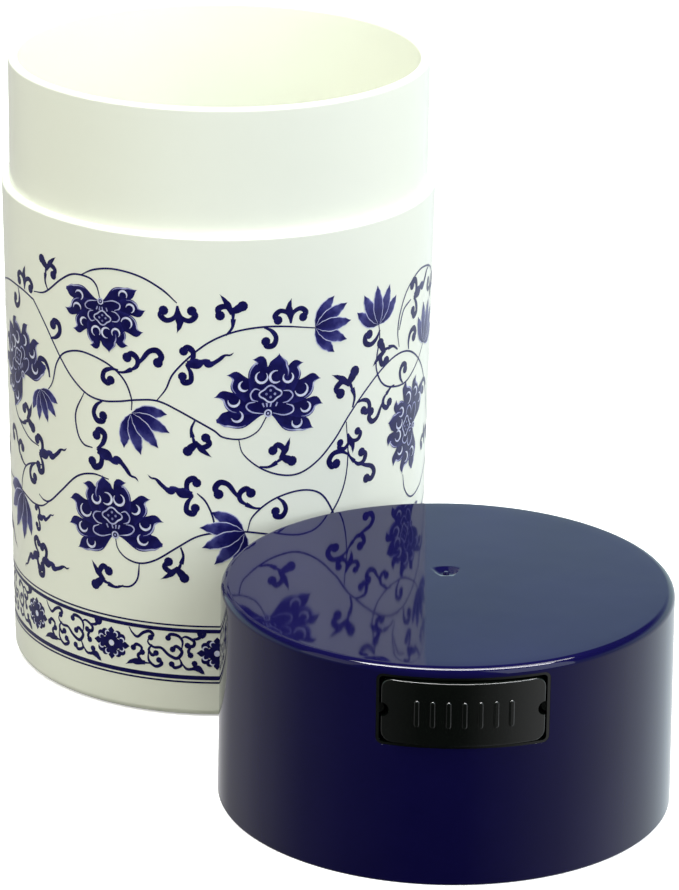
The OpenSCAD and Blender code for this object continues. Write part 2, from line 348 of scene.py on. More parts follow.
# --- Print: vines ---
# The lotus scroll is a transfer print: ink on a film that is bonded round the wall. Its
# vines are even brush lines that join the flowers, buds and leaves. Each stroke of ink is
# a thin raised ribbon, drawn flat in mm and then bent round the wall.
print_radius = 42.0
print_start = -3.1
print_panels = 2
arc_length = print_radius * pi / 180
ink_height = 0.03
ink_depth = 0.02
layer_height = 0.006


def spot(angle, height, turn=0, size=1, flip=False):
    """Where a motif lies on the flat print: degrees round from the front and mm up."""
    mirror = Matrix.Diagonal((-1 if flip else 1, 1, 1, 1))
    return (Matrix.Translation((angle * arc_length, height, 0))
            @ Matrix.Rotation(radians(turn), 4, "Z") @ Matrix.Scale(size, 4) @ mirror)


def even(values, along):
    """The value at a share of the way along a few evenly spaced ones, eased between them."""
    place = min(max(along, 0), 1) * (len(values) - 1)
    index = min(int(place), len(values) - 2)
    rest = place - index
    rest = rest * rest * (3 - 2 * rest)
    return values[index] * (1 - rest) + values[index + 1] * rest


def bent(start, heading, length, bend, tighten=1.0, steps=16):
    """A path that sets off at a heading in degrees and turns by bend, faster at its end."""
    point = Vector(start)
    path = [point.copy()]
    for i in range(steps):
        angle = radians(heading + bend * ((i + 0.5) / steps) ** tighten)
        point = point + Vector((cos(angle), sin(angle))) * length / steps
        path.append(point.copy())
    return path


def through(points, steps=8):
    """A smooth path through given points."""
    knots = [Vector(p) for p in points]
    knots = [2 * knots[0] - knots[1]] + knots + [2 * knots[-1] - knots[-2]]
    path = []
    for a, b, c, d in zip(knots, knots[1:], knots[2:], knots[3:]):
        for i in range(steps):
            t = i / steps
            path.append(0.5 * (2 * b + (c - a) * t + (2 * a - 5 * b + 4 * c - d) * t * t
                               + (3 * b - a - 3 * c + d) * t ** 3))
    return path + [knots[-2]]


def arc_path(centre, radius, start, end, steps=12):
    """Part of a circle, in degrees."""
    angles = [radians(start + (end - start) * i / steps) for i in range(steps + 1)]
    return [Vector((centre[0] + radius * cos(a), centre[1] + radius * sin(a)))
            for a in angles]


def sideways(path, index):
    """The direction to the left of a path at one of its points."""
    ahead = path[min(index + 1, len(path) - 1)] - path[max(index - 1, 0)]
    return Vector((-ahead.y, ahead.x)).normalized()


def stroke(ink, place, path, widths, tones=(0.1, 0.1), edge_tone=0.0, layer=0, across=2):
    """One brush stroke. tones run along it, from 0 for full ink to 1 for bare film. The
    ink thins by edge_tone at its right edge, or at its left edge if that is negative."""
    tone = ink.verts.layers.float["wash"]
    line = [(place @ p.to_3d()).xy for p in path]
    turned = -1 if place.determinant() < 0 else 1
    last = len(line) - 1
    grid = bmesh.ops.create_grid(ink, x_segments=last, y_segments=across, size=0.5)
    for vert in grid["verts"]:
        along, side = vert.co.x + 0.5, 2 * vert.co.y
        index = round(along * last)
        half = even(widths, along) * place.median_scale / 2
        flat = line[index] + sideways(line, index) * side * half
        vert.co = (flat.x, flat.y, ink_height + layer * layer_height)
        thin = max(0, side * turned * (-1 if edge_tone > 0 else 1)) ** 2
        vert[tone] = even(tones, along) + abs(edge_tone) * thin


def dot(ink, place, centre, radius, tone_value=0.1, layer=0, segments=12):
    """A round dab of ink."""
    tone = ink.verts.layers.float["wash"]
    disc = bmesh.ops.create_circle(ink, cap_ends=True, cap_tris=True, segments=segments,
                                   radius=radius * place.median_scale)
    middle = place @ Vector((centre[0], centre[1], 0))
    for vert in disc["verts"]:
        vert.co += Vector((middle.x, middle.y, ink_height + layer * layer_height))
        vert[tone] = tone_value


def new_ink():
    ink = bmesh.new()
    ink.verts.layers.float.new("wash")
    return ink


def print_on_wall(name, ink):
    """Bends the flat print round the wall, once for each panel, and gives the ink depth."""
    bmesh.ops.remove_doubles(ink, verts=ink.verts, dist=0.004)
    bmesh.ops.dissolve_degenerate(ink, edges=ink.edges, dist=0.0005)
    for vert in ink.verts:
        angle = vert.co.x / print_radius + radians(print_start)
        radius = wall_radius(vert.co.y) + vert.co.z
        vert.co = Vector((radius * sin(angle), -radius * cos(angle), vert.co.y)) * MM
    bmesh.ops.solidify(ink, geom=ink.faces[:], thickness=ink_depth * MM)
    panel = ink.verts[:] + ink.edges[:] + ink.faces[:]
    for i in range(1, print_panels):
        copy = bmesh.ops.duplicate(ink, geom=panel)
        bmesh.ops.rotate(ink, cent=(0, 0, 0),
                         matrix=Matrix.Rotation(2 * pi * i / print_panels, 3, "Z"),
                         verts=[g for g in copy["geom"] if isinstance(g, bmesh.types.BMVert)])
    piece = finished(name, ink)
    piece.data.materials.append(ink_material)
    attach(piece, "canister")
    return piece


def make_ink_material():
    """Cobalt ink: full strength is nearly black-blue, and it thins to pale lavender."""
    material, nodes, links = new_material("cobalt_transfer_ink")
    wash = nodes.new("ShaderNodeAttribute")
    wash.attribute_name = "wash"
    place = nodes.new("ShaderNodeTexCoord")
    mottle = nodes.new("ShaderNodeTexNoise")
    mottle.inputs["Scale"].default_value = 900
    mottle.inputs["Detail"].default_value = 4
    links.new(place.outputs["Object"], mottle.inputs["Vector"])
    spread = nodes.new("ShaderNodeMath")
    spread.operation = "MULTIPLY_ADD"
    spread.inputs[1].default_value = 0.44
    spread.inputs[2].default_value = -0.20
    links.new(mottle.outputs["Fac"], spread.inputs[0])
    total = nodes.new("ShaderNodeMath")
    total.operation = "ADD"
    total.use_clamp = True
    links.new(wash.outputs["Fac"], total.inputs[0])
    links.new(spread.outputs["Value"], total.inputs[1])
    ramp = nodes.new("ShaderNodeValToRGB")
    steps = ramp.color_ramp
    steps.elements[0].position = 0.0
    steps.elements[0].color = (0.004, 0.003, 0.062, 1)
    steps.elements[1].position = 1.0
    steps.elements[1].color = (0.72, 0.74, 0.90, 1)
    for position, colour in [(0.25, (0.012, 0.011, 0.120)), (0.55, (0.065, 0.067, 0.26)),
                             (0.8, (0.36, 0.37, 0.64))]:
        step = steps.elements.new(position)
        step.color = (*colour, 1)
    links.new(total.outputs["Value"], ramp.inputs["Fac"])
    shader = nodes.new("ShaderNodeBsdfPrincipled")
    shader.inputs["Roughness"].default_value = 0.3
    shader.inputs["IOR"].default_value = 1.25
    links.new(ramp.outputs["Color"], shader.inputs["Base Color"])
    out = nodes.new("ShaderNodeOutputMaterial")
    links.new(shader.outputs["BSDF"], out.inputs["Surface"])
    return material


ink_material = make_ink_material()
vine_width = 0.36
vine_tones = (0.1, 0.16, 0.08)
vine_routes = [
    # over the top left, down to the middle and up to the middle flower
    [(-93, 74), (-86, 76), (-80, 77.6), (-72, 79), (-63, 79.3), (-57, 78.7), (-55, 78),
     (-50, 74.3), (-44, 68.8), (-40, 65.7), (-35, 63.3), (-30, 62.7), (-25, 63.2), (-20, 64),
     (-14.5, 64.3), (-9, 62.8), (0, 59.2), (3, 57.6), (8, 57.2), (12, 58.6), (14.3, 61.4)],
    [(-14.5, 64.3), (-12, 66.8), (-10, 70), (-5, 74), (0, 76.8), (6, 78.6), (13, 79.3),
     (20, 79), (28, 78)],
    # stem of the hanging flower and the arch over it
    [(-55.5, 80.2), (-50, 81.2), (-43.5, 84.8), (-39, 86.6), (-34, 86.7), (-31.5, 85.5),
     (-30.4, 83)],
    [(-36.5, 86.8), (-32, 88.5), (-26, 89.3), (-19, 88.6), (-13, 86.5), (-9, 84)],
    # loop from the left-hand bud across to the middle
    [(-50.5, 61), (-47.8, 63.5), (-46, 67.5), (-43, 70.2), (-38, 71.5), (-33, 71.3),
     (-27.5, 70), (-23.5, 67.6), (-21.5, 64.2), (-21.5, 61.8)],
    [(-36, 63.4), (-39, 59), (-38.5, 55), (-36.5, 53), (-33.5, 52.7)],
    # lower left flower, and the vine from its foot across to the right
    [(-55.5, 39), (-53, 38.3), (-50, 38.8), (-45, 42), (-39, 46), (-33.5, 47.4), (-28.5, 47)],
    [(-26.7, 35.4), (-26, 33.2), (-23.5, 31.5), (-19.5, 30.9), (-15, 32), (-9, 35),
     (-4, 37.3), (1, 38.2), (8, 38.4), (15, 37.6), (23, 36.4), (29, 37.2), (34, 40.6),
     (37.3, 45.2), (38.4, 51), (37.6, 58)],
    [(9.5, 38.4), (11, 41.5), (16.5, 44.6), (24, 45.8), (30, 44.4), (34, 40),
     (36.5, 35), (39, 29)],
    [(-19.7, 30.9), (-20.3, 27.6), (-22.5, 25.8), (-26, 25.5)],
    # loop below the middle flower and the run to the right edge
    [(7, 57.2), (8.2, 54.2), (12.5, 51.3), (18, 49.5), (23.5, 49.3), (29, 51.4), (34, 55),
     (38, 58.8), (43, 62.6), (49, 66), (55, 67.9), (61, 68), (67, 66.2), (73, 62.5),
     (78, 57), (82, 51), (87, 47)],
    [(48.4, 76), (48.9, 73), (48, 69.5), (48, 66.8), (50.5, 63.6), (55, 62), (62, 61.6),
     (69, 64), (74, 67)],
    [(57.8, 69.5), (56.9, 72.5), (57.6, 76), (60.5, 79.8), (65, 82), (71, 82.8), (80, 81),
     (87, 76)],
    [(57.5, 73), (59.5, 76.6), (63.5, 78)],
    # left edge, below the flower there
    [(-93, 47), (-88, 42), (-82, 38), (-74, 37.6), (-66, 37.2), (-59, 36.4), (-54, 36.9),
     (-50, 38.8)],
    [(-66.5, 37.3), (-65.8, 40), (-63, 43), (-58, 44.8), (-53.5, 45.4)],
    [(-68, 62), (-71.5, 57.5), (-69.5, 53.2), (-65, 51), (-60, 49.4), (-55, 49)],
    [(-3.8, 46.2), (-1.5, 44.5), (0.3, 41.5), (1, 38.4)],
    [(62, 42.5), (63.5, 39), (68, 36.5), (75, 37), (81, 39.5), (87, 42)],
    [(41, 34), (46, 27.5), (54, 24.5), (63, 25), (72, 29), (80, 32.5), (87, 34)],
]
vines = new_ink()
for route in vine_routes:
    stroke(vines, spot(0, 0), through([(a * arc_length, z) for a, z in route]),
           (0.2, vine_width, vine_width, vine_width, vine_width, 0.22), vine_tones)
print_on_wall("print_vines", vines)


# --- Print: lotus flowers ---
# Open lotus flowers seen from the side: nine hooked petals, each with a white crescent
# and a pale line along its lower edge, round a white-lined seed head over a small ring.
lotus_petals = [
    ([(-1, 0.6), (-5.4, -0.6), (-8.2, -1.0), (-9.9, -1.3)], (1.6, 4.4, 3.0, 0.7)),
    ([(0.8, 0.4), (4.4, -1.9), (7.2, -2.9), (9.3, -4.0)], (1.4, 4.0, 2.8, 0)),
    ([(-2.6, 1.8), (-6.2, 2.3), (-8.4, 3.8), (-10.4, 3.4)], (3.8, 4.2, 2.0, 0)),
    ([(4, 1.2), (7.4, 0.4), (9.4, 1.3), (11.3, 0.6)], (3.8, 4.0, 2.2, 0)),
    ([(-3.2, 4.0), (-5.2, 5.8), (-6.2, 7.6), (-8.0, 7.9)], (4.0, 4.2, 2.0, 0)),
    ([(4, 3.4), (7.0, 4.3), (8.8, 6.0), (10.7, 5.8)], (4.2, 4.4, 2.2, 0)),
    ([(-1.6, 4.6), (-1.9, 7.8), (-1.5, 10.4), (-3.1, 10.9)], (3.8, 4.0, 2.2, 0)),
    ([(3.2, 4.6), (4.6, 7.4), (5.3, 9.2), (7.0, 9.5)], (3.8, 3.8, 1.9, 0)),
    ([(1.2, 4.4), (1.8, 8.0), (2.0, 9.8), (2.1, 11.8)], (4.0, 5.0, 3.6, 0)),
]
lotus_crescents = [
    (-6.0, -0.3, 1.1, 60, -160), (5.8, -2.3, 1.0, 30, -200),
    (-6.6, 2.8, 1.1, 10, -185), (7.5, 0.6, 1.0, 70, -170),
    (-4.6, 5.7, 1.0, 110, 310), (6.6, 4.2, 1.3, 55, -170),
    (-1.3, 7.3, 1.15, 110, 400), (3.9, 6.9, 1.0, 140, 410), (1.5, 7.2, 1.2, 75, 310),
]
lotus_lines = [
    [(-0.9, 0), (-3.1, 0.4), (-4.2, 1.4), (-3.8, 2.2), (-2.5, 2.4)],
    [(1, 0), (3.2, -0.6), (4.9, -0.1), (4.9, 1.0), (3.6, 1.6)],
    [(-1.6, 4.7), (-2.6, 5.0), (-3.4, 4.0), (-3.1, 2.9), (-2.0, 2.5)],
    [(3.0, 4.3), (4.3, 4.1), (4.9, 3.1), (4.0, 2.1), (2.9, 1.9)],
]
lotus_rays = [(-1.1, -0.8), (-0.3, -0.2), (0.6, 0.4), (1.8, 1.5)]
lotus_seeds = [(0.45, 4.55), (-0.35, 3.85), (1.3, 3.8), (0.45, 3.2)]
petal_tones = (0.0, 0.0, 0.03, 0.12, 0.36)


def lotus(ink, place):
    heart = through([(-4.0, 2.4), (0.5, 3.2), (5.2, 2.0)])
    stroke(ink, place, heart, (3.4, 6.0, 7.4, 6.2, 3.8), (0, 0), 0, 0, 8)
    for index, (spine, widths) in enumerate(lotus_petals):
        path = through(spine, 6)
        layer = 1 + index
        outer = 1 if spine[-1][0] < 0 else -1
        stroke(ink, place, path, widths, petal_tones, -0.22 * outer, layer, 6)
        rim = [point + outer * sideways(path, i) * 0.43 * even(widths, i / (len(path) - 1))
               for i, point in enumerate(path)][5:17]
        stroke(ink, place, rim, (0.05, 0.24, 0.3, 0.3, 0.24, 0.05), (0.7, 0.85, 0.7), 0,
               layer + 1)
    top = len(lotus_petals) + 2
    for x, y, radius, start, end in lotus_crescents:
        stroke(ink, place, arc_path((x, y), radius, start, end), (0.12, 0.4, 0.5, 0.4, 0.12),
               (0.88, 0.98, 0.88), 0, top)
    head = [Vector((0.45 + 2.0 * cos(a), 3.85 + 1.45 * sin(a)))
            + Vector((0.22 * cos(a), 0.22 * sin(a))) * cos(4 * a)
            for a in [radians(10 * i) for i in range(37)]]
    stroke(ink, place, head, (0.3, 0.3), (0.85, 0.85), 0, top)
    for seed in lotus_seeds:
        dot(ink, place, seed, 0.26, 0.68, top, 8)
    for upper, lower in lotus_rays:
        stroke(ink, place, through([(lower, 1.3), (upper, 2.1)], 3), (0.26, 0.32),
               (0.75, 0.75), 0, top)
    for line in lotus_lines:
        stroke(ink, place, through(line, 4), (0.12, 0.28, 0.28, 0.28, 0.12), (0.8, 0.8), 0,
               top)
    dot(ink, place, (0, 0), 0.8, 0.9, top)
    dot(ink, place, (0, 0), 0.5, 0.05, top + 1)
    dot(ink, place, (0, 0), 0.22, 0.8, top + 2)


flowers = new_ink()
for angle, height, turn, size, flip in [
    (14.7, 62.1, 0, 1.0, False),
    (-26.7, 35.9, 3, 1.0, True),
    (-30.2, 82.5, 180, 0.84, True),
    (-63, 61.8, 32, 1.0, True),
    (67.5, 51.5, 82, 0.9, False),
    (72, 23.5, 8, 0.95, True),
]:
    lotus(flowers, spot(angle, height, turn, size, flip))
print_on_wall("print_lotus_flowers", flowers)


# --- Print: buds ---
# Half-open buds at the ends of the vines: five pointed petals, parted by thin white lines.
bud_petals = [(54, 7.0), (-52, 6.9), (28, 7.8), (-26, 7.8), (1, 7.8)]


def bud(ink, place):
    for index, (angle, length) in enumerate(bud_petals):
        path = bent((0, 0), 90 - 1.25 * angle, length, 0.5 * angle, 1.3, 12)
        stroke(ink, place, path, (0.6, 2.1, 2.85, 2.6, 1.7, 0), (0.85, 0.85), 0, 2 * index, 4)
        stroke(ink, place, path, (0.5, 1.8, 2.5, 2.25, 1.4, 0), (0.04, 0.08, 0.24, 0.40, 0.10),
               0.2, 2 * index + 1, 4)


buds = new_ink()
for angle, height, turn, size in [
    (-53.2, 60.8, 202, 0.82),
    (-21.4, 61.0, 222, 1.05),
    (27.7, 78.2, -88, 1.0),
    (48.4, 76, 6, 1.0),
    (-65.5, 36.8, 152, 1.25),
    (8.4, 38.2, 112, 1.1),
    (74.5, 67, -20, 1.1),
    (39.5, 28.5, 200, 1.0),
]:
    bud(buds, spot(angle, height, turn, size))
print_on_wall("print_buds", buds)


# --- Print: curled leaves ---
# Leaves that fill the gaps. All are built from hooked dabs with a fat round end: single
# commas, pairs, forks, three-part crowns, and feathered leaves with a thin wavy tail.
leaf_comma = [(0, 0), (0.2, 1.7), (1.2, 3.1), (2.8, 3.2), (3.4, 2.0), (2.6, 1.4)]
leaf_crown = [(0, 0.6), (-0.5, 2.6), (-2.0, 3.3), (-3.1, 2.4), (-2.5, 1.5)]
leaf_pair = [
    [(0, 2.2), (-0.8, 4.3), (-2.3, 4.8), (-3.4, 3.8), (-2.7, 2.7)],
    [(-0.6, 3.8), (-2.2, 5.8), (-3.6, 7.4), (-3.7, 9.0), (-2.4, 9.7), (-1.3, 8.8)],
]
leaf_fork = [
    [(-0.4, 2.6), (0.2, 4.3), (1.6, 5.0), (2.8, 4.2), (2.1, 3.1)],
    [(0.8, 4.2), (-0.2, 4.9), (-1.1, 5.9)],
]
leaf_feather = [
    [(0, 1.6), (-1.4, 2.9), (-3.2, 3.3), (-3.9, 2.0), (-2.7, 1.4)],
    [(0, 1.6), (1.5, 2.7), (3.2, 2.4), (3.8, 1.1), (2.8, 0.5)],
]
feather_tail = [(0.2, 1.8), (0.9, 4.0), (1.6, 5.2), (1.4, 6.6), (2.6, 8.0), (3.9, 9.1),
                (4.2, 10.2), (5.0, 10.9)]


def scroll(ink, place, points, thick=1.2, head=0.85, layer=0, segments=10):
    """A stroke that swells into a round head at its end."""
    path = through(points, 5)
    stroke(ink, place, path, (0.35 * thick, 0.8 * thick, thick, thick), (0.12, 0.03, 0.08),
           0.06, layer, 3)
    dot(ink, place, path[-1], head, 0.06, layer, segments)


def flick(ink, place, points, thick, layer=0):
    """A stroke that tapers to a point."""
    stroke(ink, place, through(points, 4), (0.6 * thick, thick, 0.6 * thick, 0),
           (0.04, 0.08), 0, layer, 3)


def comma(ink, place):
    scroll(ink, place, leaf_comma, 1.2, 0.95)


def crown(ink, place):
    scroll(ink, place, leaf_crown, 1.05, 0.88)
    scroll(ink, place @ Matrix.Diagonal((-1, 1, 1, 1)), leaf_crown, 1.05, 0.88, 1)
    flick(ink, place, [(0, 1.6), (-0.3, 3.2), (-0.2, 4.3), (0.3, 5.6)], 1.5, 2)


def pair(ink, place):
    stroke(ink, place, through([(0, 0), (0.2, 1.4), (-0.3, 3.2)], 4), (0.32, 0.5, 0.95))
    scroll(ink, place, leaf_pair[0], 1.15, 0.98, 1)
    scroll(ink, place, leaf_pair[1], 1.2, 1.0, 2)


def fork(ink, place):
    stroke(ink, place, through([(0, 0), (-0.6, 1.6), (-0.3, 3.2)], 4), (0.32, 0.5, 0.9))
    scroll(ink, place, leaf_fork[0], 1.05, 0.88, 1)
    scroll(ink, place, leaf_fork[1], 1.5, 0.95, 2)
    flick(ink, place, [(0.2, 4.0), (1.4, 5.3), (2.2, 6.0), (3.4, 6.8)], 1.2, 3)


def feather(ink, place):
    scroll(ink, place, leaf_feather[0], 1.35, 0.98)
    scroll(ink, place, leaf_feather[1], 1.35, 0.98, 1)
    stroke(ink, place, through(feather_tail, 5), (1.5, 2.3, 1.15, 1.85, 0.9, 0.85, 0.45, 0.35, 0),
           (0.06, 0.16, 0.05, 0.1), 0.18, 2, 4)


leaf_spots = {
    comma: [
        (-48.2, 72.3, -78, 1.0, True), (-49, 64.2, 5, 1.0, True), (-65, 79, -155, 0.95, False),
        (-25.2, 69.4, 82, 0.95, True), (-30.2, 62.6, 122, 1.0, True),
        (13.5, 79.2, -112, 0.95, False), (48.9, 74.6, 155, 1.0, False),
        (41, 61.3, -75, 0.9, False), (60.3, 61.7, 45, 0.9, False), (63, 68, 10, 1.0, False),
        (-57.5, 44.8, 118, 0.95, True), (17.5, 44.9, -125, 0.95, False),
        (38.4, 51.3, 55, 1.05, True), (-84, 58, 10, 1.0, True), (-87, 66, 170, 0.95, False),
        (79, 57, 30, 0.95, True),
    ],
    crown: [
        (-60.8, 79, -4, 1.0, False), (20.6, 79, 2, 1.0, False), (-8.9, 84.1, 182, 1.08, False),
        (38, 56, -160, 0.9, False), (81, 80, 175, 1.0, False), (80, 44, 10, 1.0, False),
    ],
    pair: [
        (-25.6, 69.1, -80, 1.0, False), (13.2, 43, 78, 1.0, True), (56, 62.2, 108, 0.9, False),
        (-62.8, 43.1, 72, 0.95, True), (38.4, 52, -152, 0.95, False),
        (36.6, 35, -150, 1.0, False),
    ],
    fork: [
        (-48.9, 81.8, 6, 1.0, False), (12.6, 51.4, -74, 1.08, True), (-24.4, 25.7, 88, 1.1, False),
        (-8.2, 35, 176, 1.05, False), (3.6, 77.9, -18, 1.08, True), (-4.4, 60.8, 178, 1.05, True),
        (39.6, 60.6, 8, 1.2, True), (57, 69.2, 75, 1.05, True), (-67, 51.9, -78, 1.1, True),
        (47, 26.6, 10, 1.1, True), (-88, 75.5, 185, 1.0, True), (-83, 38.3, 10, 1.0, False),
    ],
    feather: [
        (-34.2, 52.8, -92, 1.0, False), (-2.9, 45.8, 96, 0.92, False), (-8.6, 72.2, -102, 0.9, True),
        (-56.8, 47.6, -96, 0.92, True), (-58, 34, -96, 0.62, True),
        (-54.5, 26.6, 98, 0.8, True), (-56.5, 26.0, -112, 0.86, True),
        (63.2, 78, -92, 0.95, True), (-87, 28, -90, 0.95, False), (22, 27, -110, 1.0, False),
    ],
}
leaves = new_ink()
for leaf, spots in leaf_spots.items():
    for angle, height, turn, size, flip in spots:
        leaf(leaves, spot(angle, height, turn, size, flip))
print_on_wall("print_leaves", leaves)


# --- Print: border ---
# A band near the foot: a thin and a thick line above and below a row of four-lobed
# florets with curled scrollwork between them.
border_repeats = 12
border_lines = [(18.9, 0.32), (17.9, 0.75), (8.15, 0.85), (7.2, 0.35)]
border_middle = 13.3
border_thick = 0.68
border_curl = 0.62
border_scrolls = [
    [(4.0, 4.1), (4.7, 3.0), (5.8, 2.3), (7.0, 3.3), (8.3, 3.8), (9.1, 3.2), (8.6, 2.5)],
    [(8.9, 3.3), (8.0, 1.6), (9.2, 0.6), (10.8, 0.6), (12.3, -0.7), (14.0, -1.3),
     (15.0, 0.1), (13.9, 1.2), (13.1, 0.5)],
    [(8.9, 1.1), (8.2, -0.1), (8.9, -1.1), (9.7, -0.6)],
    [(8.1, -0.4), (8.2, -2.3), (9.6, -3.4), (10.9, -2.7), (10.3, -2.0)],
    [(8.6, -2.9), (6.9, -2.8), (5.9, -1.6), (6.8, -0.8)],
    [(6.2, -1.4), (6.7, 0.1), (5.6, 0.7), (4.9, -0.1)],
    [(14.4, -1.1), (14.9, -2.6), (13.6, -3.3), (12.9, -2.6)],
    [(14.9, -2.2), (16.0, -3.4), (17.6, -3.1), (17.5, -2.2)],
    [(14.9, 0.4), (15.1, 2.3), (14.2, 3.4), (12.7, 3.6), (12.2, 2.8)],
    [(14.7, 2.8), (15.8, 3.3), (17.4, 2.4), (17.2, 1.4), (16.1, 1.5)],
    [(17.0, 2.9), (18.1, 3.0), (19.1, 3.8)],
    [(17.1, 1.6), (16.3, 0.4), (16.7, -0.5)],
]
border_flicks = [
    [(7.4, -2.9), (5.6, -2.9), (4.4, -3.1), (3.1, -3.9)],
    [(17.2, -3.2), (18.2, -3.2), (19.0, -3.9), (19.6, -4.4)],
    [(18.2, 4.6), (19.1, 3.6), (20.0, 4.6)],
]


def floret(ink, place):
    for quarter in range(4):
        lobe = place @ Matrix.Rotation(radians(90 * quarter), 4, "Z")
        reach = 4.1 if quarter % 2 else 3.4
        stroke(ink, lobe, through([(0, 0.4), (0, reach * 0.6), (0, reach)], 4),
               (1.7, 1.9, 1.8, 1.3, 0), (0.05, 0.05), 0, 0, 4)
        for side in (-1, 1):
            outer = (side * 1.45, 0.58 * reach)
            dot(ink, lobe, outer, 0.8, 0.05, 1, 14)
            path = bent((side * 0.45, 0.62 * reach), 90 - side * 20, 2.0, -side * 230, 0.9, 12)
            stroke(ink, lobe, path, (0, 0.3, 0.28, 0.24, 0), (0.95, 0.95), 0, 2)
    dot(ink, place, (0, 0), 1.8, 0.03, 0)
    dot(ink, place, (0, 0), 0.62, 0.97, 3)


border = new_ink()
for height, thickness in border_lines:
    stroke(border, spot(0, 0), [Vector((a * arc_length, height)) for a in range(-90, 91)],
           (thickness, thickness), (0.05, 0.05))
for i in range(border_repeats // print_panels):
    place = spot(-88.4 + 360 / border_repeats * i, border_middle)
    floret(border, place)
    for points in border_scrolls:
        scroll(border, place, points, border_thick, border_curl, 0, 8)
    for points in border_flicks:
        flick(border, place, points, 2 * border_thick, 1)
border_piece = print_on_wall("print_border", border)
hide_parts("print_film")


# --- Cap shell ---
# The deep outer cap: gloss navy plastic, moulded with a window for the button and a
# gate mark in a shallow dimple on top. The plug is welded inside it.
shell_low, shell_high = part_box("cap_shell")
cap_centre = (shell_low + shell_high) / 2
cap_radius = (shell_high.x - shell_low.x) / 2 / MM
cap_height = shell_high.z / MM
cap_top_radius = 41.45
skirt_bore = 40.75
upper_bore = 39.9
rim_stop = 24.9
top_thickness = 1.6
window_half_width = 15.3
window_low = 26.3
window_high = 39.6
window_rounding = 1.2
gate_offset = 4.8
gate_depth = 0.6
gate_floor_radius = 1.2
gate_edge_radius = 2.55
gate_cutter_height = 0.9
nub_foot_radius = 0.6
nub_tip_radius = 0.45
nub_height = 0.7
nub_sunk = 0.8
edge_rounding = 0.18
cap_shell = lathe("cap_outer_shell", [
    (0, cap_height - top_thickness, 0), (upper_bore, cap_height - top_thickness, 0),
    (upper_bore, rim_stop, 0), (skirt_bore, rim_stop, 0), (skirt_bore, 0, 0.3),
    (cap_radius, 0, 0.4), (cap_top_radius, cap_height, 1.5), (0, cap_height, 0),
], centre=cap_centre.xy)


def at_cap(mesh, x=0, y=0, z=0):
    """Moves a bmesh built about the cap's own axis to the cap, with an offset in mm."""
    bmesh.ops.translate(mesh, verts=mesh.verts,
                        vec=(cap_centre.x + x * MM, cap_centre.y + y * MM, z * MM))
    return mesh


def rounded_bar(half_width, low, high, rounding, front, back, segments=6):
    """A bar along Y with rounded long edges, in mm about the cap's own axis."""
    bar = bmesh.new()
    corners = [(-half_width, low), (half_width, low), (half_width, high), (-half_width, high)]
    bar.faces.new([bar.verts.new((x * MM, front * MM, z * MM)) for x, z in corners])
    bmesh.ops.bevel(bar, geom=bar.verts[:], offset=rounding * MM, offset_type="OFFSET",
                    segments=segments, profile=0.5, affect="VERTICES", material=-1)
    back_end = bmesh.ops.extrude_face_region(bar, geom=bar.faces[:])
    bmesh.ops.translate(bar, vec=(0, (back - front) * MM, 0),
                        verts=[g for g in back_end["geom"] if isinstance(g, bmesh.types.BMVert)])
    bmesh.ops.recalc_face_normals(bar, faces=bar.faces)
    return bar


def turned_bar(radius_low, radius_high, height, segments=lathe_steps):
    """A solid cone frustum about Z, standing at the origin, in mm."""
    bar = bmesh.new()
    bmesh.ops.create_cone(bar, cap_ends=True, segments=segments, radius1=radius_low * MM,
                          radius2=radius_high * MM, depth=height * MM)
    bmesh.ops.translate(bar, verts=bar.verts, vec=(0, 0, height / 2 * MM))
    return bar


def settle(piece, crease=35):
    """Applies a piece's modifiers to its mesh."""
    depsgraph = bpy.context.evaluated_depsgraph_get()
    data = bpy.data.meshes.new_from_object(piece.evaluated_get(depsgraph))
    piece.modifiers.clear()
    piece.data = data
    data.shade_smooth()
    data.set_sharp_from_angle(angle=radians(crease))


def carve(piece, tool, operation="DIFFERENCE"):
    """Cuts a piece with a bmesh, or joins or crosses the two, and discards the tool."""
    data = bpy.data.meshes.new("tool")
    tool.to_mesh(data)
    tool.free()
    tool_object = bpy.data.objects.new("tool", data)
    bpy.context.scene.collection.objects.link(tool_object)
    cut = piece.modifiers.new("cut", "BOOLEAN")
    cut.operation = operation
    cut.solver = "EXACT"
    cut.object = tool_object
    settle(piece)
    bpy.data.objects.remove(tool_object)


def soften(piece, width, segments=3):
    """Rounds every sharp edge of a piece by a width in mm."""
    edges = piece.modifiers.new("edges", "BEVEL")
    edges.width = width * MM
    edges.segments = segments
    edges.limit_method = "ANGLE"
    edges.angle_limit = radians(35)
    edges.use_clamp_overlap = True
    settle(piece)


carve(cap_shell, at_cap(rounded_bar(window_half_width, window_low, window_high,
                                    window_rounding, -45, -36)))
carve(cap_shell, at_cap(turned_bar(gate_floor_radius, gate_edge_radius, gate_cutter_height, 48),
                        y=gate_offset, z=cap_height - gate_depth))
carve(cap_shell, at_cap(turned_bar(nub_foot_radius, nub_tip_radius, nub_height, 32),
                        y=gate_offset, z=cap_height - nub_sunk), "UNION")
soften(cap_shell, edge_rounding)
crisp(cap_shell)
navy = moulded("navy_gloss_plastic", (0.0028, 0.0022, 0.032), (0.0046, 0.0036, 0.042), 0.05,
               0.01, 0.012, 1.30)
cap_shell.data.materials.append(navy)
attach(cap_shell, "cap")
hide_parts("cap_shell")


